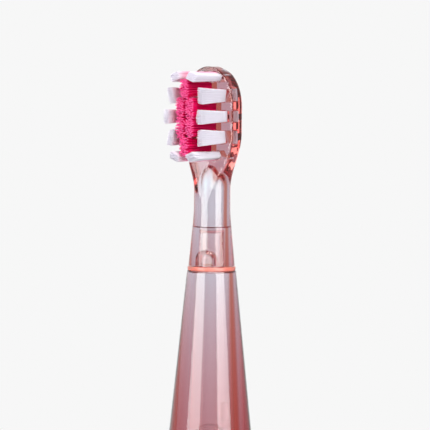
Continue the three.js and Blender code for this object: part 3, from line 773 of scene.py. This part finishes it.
def key(name, clearance, bottom):
    """The lug beside the peg that keeps the head from turning, or with a clearance its slot."""
    width, reach, top = KEY_WIDTH + 2 * clearance, KEY_REACH + clearance, KEY_TOP + clearance
    lug = stadium(name, width, 2 * (top - SEAM), -reach, -1, SEAM, 0.7)
    combine(lug, [block("above", (-width, -reach - 1, bottom), (width, 0, top + 1), 0)], "INTERSECT")
    lug.data.transform(Matrix.Rotation(KEY_TURN, 4, "Z"))
    return lug


def make_head():
    # rings close together where the tip rounds off
    downs = [0.02, 0.06, 0.14, 0.26, 0.42, 0.62, 0.86, 1.14, 1.46, 1.8]
    downs += steps(PLATE_EDGE, BRUSH_TOP - SEAM - 0.15, 64)
    head = lofted("clear_head", [head_ring(down) for down in downs])
    domed_end = [(CORE_RADIUS * math.cos(angle), CORE_TOP - CORE_DOME * (1 - math.sin(angle)))
                 for angle in steps(math.pi / 2, 0, 20)]
    bore = turned("bore", [*domed_end, (CORE_RADIUS, PEG_TOP + 0.7), (SOCKET_RADIUS, PEG_TOP + 0.5),
                           (SOCKET_RADIUS, SEAM - 1), (0, SEAM - 1)])
    cut(head, bore, key("keyway", GAP, SEAM - 1), *[pocket(tuft) for tuft in white_tufts() + pink_tufts()])
    place(head, "head", CLEAR_PINK, ["head_body"], 35)
    inside, outside = LAND_RADIUS + GAP, CONE_TOP_RADIUS - 0.08
    low, high = CONE_TOP + 0.05, SEAM - 0.05
    outline = [(inside, low), (outside, low), (outside, high), (inside, high)]
    ring = turned("coral_ring", rounded(outline, 0.2))
    place(ring, "head", CORAL, ["head_seal_ring"])


# ---------------- light cone and what it covers

def cone_bore(z):
    """Inner radius of the cone at a height: nearly straight, then wider round the motor's end."""
    run = CONE_TOP - z
    return CONE_BORE + 0.028 * run + 0.0038 * max(0, run - 30) ** 2


def make_cone():
    inner = [(cone_bore(z), z) for z in steps(CONE_TOP - 0.35, SPIGOT_TOP + GAP, 24)]
    outer = [(body_radius(z), z) for z in steps(CONE_BOTTOM, CONE_TOP - 0.25, 40)]
    outline = [
        (0, PEG_TOP - 0.6),
        (PEG_BORE, PEG_TOP - 0.6),
        (PEG_BORE, CONE_TOP - 0.35),
        *inner,
        (SPIGOT_RADIUS + GAP, SPIGOT_TOP + GAP),
        (SPIGOT_RADIUS + GAP, CONE_BOTTOM),
        *outer,
        (body_radius(CONE_TOP), CONE_TOP),
        (LAND_RADIUS, CONE_TOP),
        (LAND_RADIUS, SEAM - GAP),
        (PEG_RADIUS, SEAM - GAP),
        (PEG_RADIUS, PEG_TOP),
        (0, PEG_TOP),
    ]
    cone = turned("clear_cone", rounded(outline, 0.12), 160)
    joined(cone, key("cone_key", 0, SEAM + HAIRLINE))
    place(cone, "handle", CLEAR_PINK, ["light_cone"], 35)


def make_diffuser():
    inside = DIFFUSER_RADIUS - DIFFUSER_WALL

    def arc(radius):
        return [(radius * math.cos(angle), DIFFUSER_CENTRE + radius * math.sin(angle))
                for angle in steps(0, 0.49 * math.pi, 20)]

    outline = [
        (0, DIFFUSER_CENTRE + inside),
        *reversed(arc(inside)),
        (inside, DIFFUSER_BASE),
        (FLANGE_RADIUS, DIFFUSER_BASE),
        (FLANGE_RADIUS, FLANGE_TOP),
        (DIFFUSER_RADIUS, FLANGE_TOP),
        *arc(DIFFUSER_RADIUS),
        (0, DIFFUSER_CENTRE + DIFFUSER_RADIUS),
    ]
    diffuser = turned("diffuser_dome", rounded(outline, 0.2), 72)
    place(diffuser, "handle", FROSTED, ["light_diffuser"])


def make_lamp():
    stalk, bulb = 0.35, 0.65
    foot, shoulder, tip = 130.2, 132.2, 135.9
    outline = [(0, foot), (stalk, foot), (stalk, shoulder), (bulb, shoulder), (bulb, tip), (0, tip)]
    lamp = turned("lamp", rounded(outline, 0.6, 8), 32, (LAMP_X, 0))
    place(lamp, "handle", FROSTED, ["led_lamp"])


# ---------------- housing, grip and controls

def front_window(name, extra, back):
    """A slab the shape of the front panel, larger by an extra all round, from in front of it to a depth."""
    width = PANEL_WIDTH + 2 * extra
    height = PANEL_TOP - PANEL_BOTTOM + 2 * extra
    return stadium(name, width, height, -20, back, (PANEL_BOTTOM + PANEL_TOP) / 2)


def make_panel():
    """The white panel that fills the grip's window, a patch of the handle's own curved wall."""
    low, high = PANEL_BOTTOM - 4, PANEL_TOP + 4
    outline = [
        *[(body_radius(z), z) for z in steps(low, high, 24)],
        *[(body_radius(z) - 1.7, z) for z in steps(high, low, 24)],
    ]
    return combine(turned("panel", outline, 128), [front_window("panel_window", -HAIRLINE, -8)], "INTERSECT")


def make_housing():
    recess = GRIP_THICKNESS + HAIRLINE
    bore = CAP_SPIGOT_RADIUS + GAP
    outline = [
        *[(body_radius(z), z) for z in steps(CAP_FLOOR, GRIP_BOTTOM, 6)],
        *[(body_radius(z) - recess, z) for z in steps(GRIP_BOTTOM, GRIP_TOP, 30)],
        *[(body_radius(z), z) for z in steps(GRIP_TOP, CONE_BOTTOM - GAP, 4)],
        (SPIGOT_RADIUS, CONE_BOTTOM - GAP),
        (SPIGOT_RADIUS, SPIGOT_TOP),
        (SPIGOT_BORE, SPIGOT_TOP),
        (SPIGOT_BORE, CONE_BOTTOM - 3),
        *[(body_radius(z) - HANDLE_WALL, z) for z in steps(CONE_BOTTOM - 6, BRUSH_BOTTOM + 25, 16)],
        (bore, BRUSH_BOTTOM + 13),
        (bore, CAP_FLOOR),
    ]
    housing = turned("housing_tube", rounded(outline, 0.25), 128)
    joined(housing, make_panel())
    through = 5, 20
    holes = [laid_along_y(rod("button_hole", BUTTON_RADIUS + GAP, *through, 64, 0), 0, BUTTON_Z)]
    for z in MODE_LIGHT_Z:
        holes.append(laid_along_y(rod("light_hole", MODE_LIGHT_RADIUS + 0.15, *through, 24, 0), 0, z))
    cut(housing, *holes)
    place(housing, "handle", WHITE_PLASTIC, ["handle_body"], 35)


def make_mode_lights():
    radius = MODE_LIGHT_RADIUS
    for i, z in enumerate(MODE_LIGHT_Z, 1):
        front = body_radius(z) - 0.05
        outline = [(0, MODE_LIGHT_BACK), (radius, MODE_LIGHT_BACK), (radius, front - 0.2),
                   (radius - 0.2, front), (0, front + 0.05)]
        lens = laid_along_y(turned(f"mode_lens_{i}", outline, 32), 0, z)
        place(lens, "handle", MILKY_LENS, [f"mode_light_{i}"])


def make_grip():
    low, high = GRIP_BOTTOM + GAP, GRIP_TOP - GAP
    grooves = steps(GRIP_BOTTOM + 6, GRIP_BOTTOM + 14, 4)
    half_width, depth = 0.35, 0.25

    def outer(z):
        dip = sum(math.exp(-((z - groove) / half_width) ** 2) for groove in grooves)
        return body_radius(z) - depth * dip

    outline = [
        *[(body_radius(z) - GRIP_THICKNESS, z) for z in steps(high, low, 24)],
        *[(outer(z), z) for z in steps(low, high, 300)],
    ]
    grip = turned("grip_sleeve", rounded(outline, 0.3), 128)
    cut(grip, front_window("grip_window", HAIRLINE, -6))
    place(grip, "handle", GRIP, ["soft_grip"], 35)


def make_button():
    outline = [
        (0, BUTTON_BACK),
        (BUTTON_RADIUS, BUTTON_BACK),
        (BUTTON_RADIUS, BUTTON_FRONT - 0.6),
        (BUTTON_RADIUS - 0.6, BUTTON_FRONT),
        (2.9, BUTTON_FRONT - 0.28),
        (2.6, BUTTON_FRONT - 0.4),
        (0, BUTTON_FRONT - 0.45),
    ]
    button = laid_along_y(turned("button_cap", rounded(outline, 0.35, 6), 96), 0, BUTTON_Z)
    place(button, "button", GRIP, ["power_button"])


# ---------------- bottom cap and charger

def make_bottom_cap():
    groove_low, groove_high = SEAL_GROOVE
    outline = [
        (0, WELL_TOP),
        (WELL_RADIUS, WELL_TOP),
        (WELL_RADIUS, BRUSH_BOTTOM),
        (body_radius(BRUSH_BOTTOM), BRUSH_BOTTOM),
        (body_radius(CAP_STEP), CAP_STEP),
        (CAP_SPIGOT_RADIUS, CAP_STEP),
        (CAP_SPIGOT_RADIUS, groove_low),
        (SEAL_GROOVE_RADIUS, groove_low),
        (SEAL_GROOVE_RADIUS, groove_high),
        (CAP_SPIGOT_RADIUS, groove_high),
        (CAP_SPIGOT_RADIUS, BRUSH_BOTTOM + 10),
        (CAP_SPIGOT_BORE, BRUSH_BOTTOM + 10),
        (CAP_SPIGOT_BORE, CAP_FLOOR),
        (WELL_RADIUS + WELL_WALL, CAP_FLOOR),
        (WELL_RADIUS + WELL_WALL, WELL_TOP + 1.6),
        (0, WELL_TOP + 1.6),
    ]
    cap = turned("foot_cap", rounded(outline, 0.6, 5), 128)
    place(cap, "handle", WHITE_PLASTIC, ["bottom_cap"], 35)


def around(count, turn, radius):
    """Places evenly round a circle, the first at that turn."""
    angles = [turn + i * 2 * math.pi / count for i in range(count)]
    return [(radius * math.cos(angle), radius * math.sin(angle)) for angle in angles]


BOSSES = around(4, math.pi / 4, BOSS_CIRCLE)
FEET = around(4, 0, FOOT_CIRCLE)


def dome(inset):
    """The charger's outline from its side up to the cradle's rim, that far inside its outer face."""
    rim = CRADLE_RADIUS + 1.6
    reach = CHARGER_RADIUS - inset - rim
    rise = CHARGER_TOP - inset - DOME_START
    return [(rim + reach * math.cos(angle), DOME_START + rise * math.sin(angle))
            for angle in steps(0, math.pi / 2, 28)]


def make_charger_shell():
    outside = [
        (CHARGER_RADIUS - CHARGER_WALL, SHELL_BOTTOM),
        (CHARGER_RADIUS, SHELL_BOTTOM),
        *dome(0),
        (CRADLE_RADIUS, CHARGER_TOP),
        (CRADLE_RADIUS - 0.4, CRADLE_FLOOR),
        (POST_RADIUS, CRADLE_FLOOR),
        (POST_RADIUS - 0.1, POST_TOP),
        (0, POST_TOP),
    ]
    bore_top, underside = POST_TOP - 1.4, CRADLE_FLOOR - 1.6
    inside = [
        (0, bore_top),
        (POST_BORE, bore_top),
        (POST_BORE, underside),
        (CRADLE_RADIUS + 0.2, underside),
        *reversed(dome(CHARGER_WALL)),
    ]
    shell = turned("charger_case", rounded([*inside, *outside], 0.7, 6), 160)
    joined(shell, *[rod("boss", BOSS_RADIUS, COVER_TOP + GAP, BOSS_TOP, 32, 0, at) for at in BOSSES])
    holes = [rod("hole", SCREW_HOLE_RADIUS, COVER_TOP, SCREW_HOLE_TOP, 24, 0, at) for at in BOSSES]
    through = 22, 32
    inlet = stadium("inlet_hole", INLET_WIDTH + 0.7, INLET_HEIGHT + 0.7, *through, INLET_Z)
    light = laid_along_y(rod("light_hole", CHARGE_LIGHT_RADIUS + GAP, *through, 32, 0), 0, CHARGE_LIGHT_Z)
    cut(shell, *holes, inlet, light)
    place(shell, "charger", WHITE_PLASTIC, ["charger_shell"], 35)


def make_charger_cover():
    edge = CHARGER_RADIUS - CHARGER_WALL - GAP
    cover = rod("base_cover", edge, SHELL_BOTTOM, COVER_TOP, 128, 0.25)
    tools = [rod("foot_pocket", FOOT_RADIUS + GAP, 0, FOOT_HEIGHT + GAP, 48, 0, at) for at in FEET]
    tools += [rod("head_pocket", SCREW_HEAD_RADIUS + GAP, 0, 2.1, 40, 0, at) for at in BOSSES]
    tools += [rod("shank_hole", 1.5, 0, 5, 32, 0, at) for at in BOSSES]
    cut(cover, *tools)
    place(cover, "charger", WHITE_PLASTIC, ["charger_cover"], 35)


def make_feet():
    outline = rounded([(0, 0), (FOOT_RADIUS, 0), (FOOT_RADIUS, FOOT_HEIGHT), (0, FOOT_HEIGHT)], 0.4, 5)
    for i, at in enumerate(FEET, 1):
        pad = turned(f"foot_pad_{i}", outline, 48, at)
        place(pad, "charger", RUBBER, [f"charger_foot_{i}"])


def make_screws():
    """Cross-head screws, their heads down, that hold the cover to the shell."""
    head_low, head_high, shank, point = 1.1, 1.8, 1.15, 9.4
    outline = rounded([(0, head_low), (SCREW_HEAD_RADIUS, head_low), (SCREW_HEAD_RADIUS, head_high),
                       (shank, head_high), (shank, point - 0.8), (0.6, point), (0, point)], 0.25)
    for i, at in enumerate(BOSSES, 1):
        screw = turned(f"screw_{i}", outline, 40, at)
        x, y = at
        slots = [block("slot", (x - a, y - b, 0), (x + a, y + b, head_low + 0.5), 0.08)
                 for a, b in ((1.3, 0.3), (0.3, 1.3))]
        cut(screw, *slots)
        place(screw, "charger", STEEL, [f"cover_screw_{i}"])


def make_charge_light():
    back, front = 24.5, 28.05
    lens = laid_along_y(rod("charge_lens", CHARGE_LIGHT_RADIUS, back, front, 40, 0.3), 0, CHARGE_LIGHT_Z)
    place(lens, "charger", MILKY_LENS, ["charge_light"])


def make_inlet():
    back = INLET_FRONT - INLET_DEPTH
    socket = stadium("inlet_shell", INLET_WIDTH, INLET_HEIGHT, back, INLET_FRONT, INLET_Z, 0.08)
    width, height = INLET_WIDTH - 0.7, INLET_HEIGHT - 0.7
    cut(socket, stadium("inlet_inside", width, height, back + 0.6, INLET_FRONT + 1, INLET_Z))
    place(socket, "charger", STEEL, ["usb_socket"])
    low = (-3.3, INLET_FRONT - 6.1, INLET_Z - 0.35)
    high = (3.3, INLET_FRONT - 0.8, INLET_Z + 0.35)
    place(block("inlet_tongue", low, high), "charger", BLACK, ["usb_tongue"])


# ---------------- pieces kept from the frame

def finish_kept_nodes():
    """Gives the pieces inside the handle and the charger their materials."""
    kept = {
        STEEL: ["battery_contact_plus", "battery_contact_minus", "motor_can", "motor_shaft",
                "eccentric_weight"],
        RUBBER: ["motor_damper", "bottom_seal"],
        BLACK: ["tact_switch", "switch_plunger"],
        BOARD: ["circuit_board", "charger_board"],
        FRAME_PLASTIC: ["chassis_frame"],
        WRAP: ["battery"],
        COPPER: ["receiving_coil", "primary_coil"],
        FERRITE: ["receiving_core", "ferrite_core"],
    }
    for material, nodes in kept.items():
        for node in nodes:
            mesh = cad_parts[node].data
            mesh.materials.clear()
            mesh.materials.append(material)


# ---------------- stage, light and camera

CAMERA_TURN = math.radians(33)
CAMERA_LIFT = math.radians(3)
CAMERA_ROLL = math.radians(0.5)
CAMERA_DISTANCE = 0.69
VIEW_WIDTH = 0.086
AIM = (0.6, 173.3)  # to the right of the axis and up, in millimetres

LIGHT_WIDTH = 0.5
LIGHT_DISTANCE = 0.7
LIGHT_TARGET = 0.15  # the height the lights face, in metres
LIGHT_BOUNCES = 48
GLOSS_GAIN = 1.22  # how much brighter the room is in reflections
BACKDROP = (0.9301, 0.9301, 0.9301)
FILL = (0.62, 0.59, 0.64)
PALE = (0.59, 0.79, 0.92)
MIDDLE = (0.50, 0.50, 0.55)
DIM = (0.46, 0.34, 0.33)
WARM = (0.52, 0.27, 0.21)
# what stands round the object, by degrees from +Y towards +X
ROOM = (
    (-175, DIM), (-118, DIM), (-108, PALE), (-94, PALE), (-80, PALE), (-66, PALE), (-53, PALE),
    (-24, PALE), (-14, PALE), (-4, MIDDLE), (6, WARM), (30, WARM), (42, DIM), (60, DIM),
    (80, MIDDLE), (110, MIDDLE), (120, PALE), (150, PALE), (165, DIM),
)
LAMP = (2.8, 4.8, 4.2)
LAMP_TURN = -149  # the lamp's middle, in the same degrees
LAMP_SPREAD = 29  # degrees to each side of it
FLOOR_RADIUS = 0.9
FLOOR_FADE = (0.12, 0.5)  # how far out the floor starts to fade and is gone


def make_floor():
    """A round pale floor that fades into the background away from the object."""
    mesh = bpy.data.meshes.new("floor")
    work = bmesh.new()
    bmesh.ops.create_circle(work, cap_ends=True, segments=96, radius=FLOOR_RADIUS)
    work.to_mesh(mesh)
    work.free()
    floor = added("floor", mesh)
    material, nodes, links, shader = new_material("pale_floor")
    shader.inputs["Base Color"].default_value = (0.76, 0.78, 0.76, 1)
    shader.inputs["Roughness"].default_value = 1
    shader.inputs["Specular IOR Level"].default_value = 0.1
    length = nodes.new("ShaderNodeVectorMath")
    length.operation = "LENGTH"
    links.new(nodes.new("ShaderNodeTexCoord").outputs["Object"], length.inputs[0])
    fade = nodes.new("ShaderNodeMapRange")
    fade.interpolation_type = "SMOOTHSTEP"
    fade.inputs["From Min"].default_value = FLOOR_FADE[0]
    fade.inputs["From Max"].default_value = FLOOR_FADE[1]
    links.new(length.outputs["Value"], fade.inputs["Value"])
    clear = nodes.new("ShaderNodeBsdfTransparent")
    mix = nodes.new("ShaderNodeMixShader")
    links.new(fade.outputs["Result"], mix.inputs["Fac"])
    links.new(shader.outputs["BSDF"], mix.inputs[1])
    links.new(clear.outputs["BSDF"], mix.inputs[2])
    links.new(mix.outputs["Shader"], nodes["Material Output"].inputs["Surface"])
    mesh.materials.append(material)


def compass(nodes, links):
    """The direction of a ray round the upright axis, from 0 to 1, where a half is +Y."""
    direction = nodes.new("ShaderNodeTexCoord")
    parts = nodes.new("ShaderNodeSeparateXYZ")
    links.new(direction.outputs["Generated"], parts.inputs["Vector"])
    turn = nodes.new("ShaderNodeMath")
    turn.operation = "ARCTAN2"
    links.new(parts.outputs["X"], turn.inputs[0])
    links.new(parts.outputs["Y"], turn.inputs[1])
    whole = nodes.new("ShaderNodeMapRange")
    whole.inputs["From Min"].default_value = -math.pi
    whole.inputs["From Max"].default_value = math.pi
    links.new(turn.outputs["Value"], whole.inputs["Value"])
    return whole.outputs["Result"]


def panels(nodes, links, whole):
    """Pale upright panels round a dim room, as a colour by compass direction."""
    ramp = nodes.new("ShaderNodeValToRGB")
    ramp.color_ramp.interpolation = "B_SPLINE"
    stops = ramp.color_ramp.elements
    stops.remove(stops[1])
    stops[0].color = (*DIM, 1)
    for angle, colour in ROOM:
        stops.new((angle + 180) / 360).color = (*colour, 1)
    links.new(whole, ramp.inputs["Fac"])
    return ramp.outputs["Color"]


def with_lamp(nodes, links, whole, room):
    """The room with one bright panel in it, which lights up the rims of the clear plastic."""
    lamp = nodes.new("ShaderNodeMath")
    lamp.operation = "COMPARE"
    lamp.inputs[1].default_value = (LAMP_TURN + 180) / 360
    lamp.inputs[2].default_value = LAMP_SPREAD / 360
    links.new(whole, lamp.inputs[0])
    return mixed(nodes, links, lamp.outputs["Value"], room, LAMP)


def make_world():
    """A plain backdrop, a fill for matt surfaces, and the room: brighter in gloss, with a bright lamp panel
    through plastic.
    """
    world = bpy.data.worlds.new("studio")
    bpy.context.scene.world = world
    world.use_nodes = True
    world.cycles.sampling_method = "NONE"
    nodes, links = world.node_tree.nodes, world.node_tree.links
    path = nodes.new("ShaderNodeLightPath")
    whole = compass(nodes, links)
    room = panels(nodes, links, whole)
    grey = nodes.new("ShaderNodeMath")
    grey.operation = "MULTIPLY"
    grey.inputs[1].default_value = GLOSS_GAIN
    links.new(room, grey.inputs[0])
    colour = grey.outputs["Value"]
    seen_by = (
        ("Is Transmission Ray", with_lamp(nodes, links, whole, room)),
        ("Is Diffuse Ray", FILL),
        ("Is Camera Ray", BACKDROP),
    )
    for rays, sight in seen_by:
        colour = mixed(nodes, links, path.outputs[rays], colour, sight)
    links.new(colour, nodes["Background"].inputs["Color"])


def looking_from(turn, lift):
    """The direction out to a viewer who has walked round from the front and risen by those angles."""
    return Vector((math.sin(turn) * math.cos(lift), -math.cos(turn) * math.cos(lift), math.sin(lift)))


def make_camera():
    data = bpy.data.cameras.new("camera")
    camera = added("camera", data)
    data.sensor_width = 36
    data.lens = 36 * CAMERA_DISTANCE / VIEW_WIDTH
    data.clip_start = 0.05
    data.clip_end = 20
    right = Vector((math.cos(CAMERA_TURN), math.sin(CAMERA_TURN), 0))
    target = right * AIM[0] * MM + Vector((0, 0, AIM[1] * MM))
    back = looking_from(CAMERA_TURN, CAMERA_LIFT)
    camera.location = target + back * CAMERA_DISTANCE
    camera.rotation_mode = "QUATERNION"
    roll = Matrix.Rotation(CAMERA_ROLL, 3, "Z").to_quaternion()
    camera.rotation_quaternion = (-back).to_track_quat("-Z", "Y") @ roll
    bpy.context.scene.camera = camera


def soft_box(name, turn, lift, height, power, whole):
    """A rectangular light turned to the brush. Only a whole one lights matt surfaces too."""
    data = bpy.data.lights.new(name, "AREA")
    data.shape = "RECTANGLE"
    data.size = LIGHT_WIDTH
    data.size_y = height
    data.energy = power
    light = added(name, data)
    out = looking_from(math.radians(turn), math.radians(lift))
    light.location = Vector((0, 0, LIGHT_TARGET)) + out * LIGHT_DISTANCE
    light.rotation_mode = "QUATERNION"
    light.rotation_quaternion = (-out).to_track_quat("-Z", "Y")
    light.visible_camera = False
    light.visible_diffuse = whole
    light.visible_transmission = False


def make_lights():
    soft_box("left_light", turn=-17, lift=10, height=0.8, power=8, whole=False)
    soft_box("right_light", turn=74, lift=10, height=0.8, power=8.5, whole=False)
    soft_box("front_light", turn=40, lift=35, height=0.5, power=6.5, whole=True)


make_camera()
make_world()
make_floor()
make_lights()
make_head()
make_tufts()
make_cone()
make_diffuser()
make_lamp()
make_housing()
make_mode_lights()
make_grip()
make_button()
make_bottom_cap()
make_charger_shell()
make_charger_cover()
make_feet()
make_screws()
make_charge_light()
make_inlet()
finish_kept_nodes()

bpy.context.scene.view_settings.view_transform = "Standard"
# light passes many walls of clear plastic before it leaves the head
for kind in ("max", "transmission", "glossy"):
    setattr(bpy.context.scene.cycles, f"{kind}_bounces", LIGHT_BOUNCES)
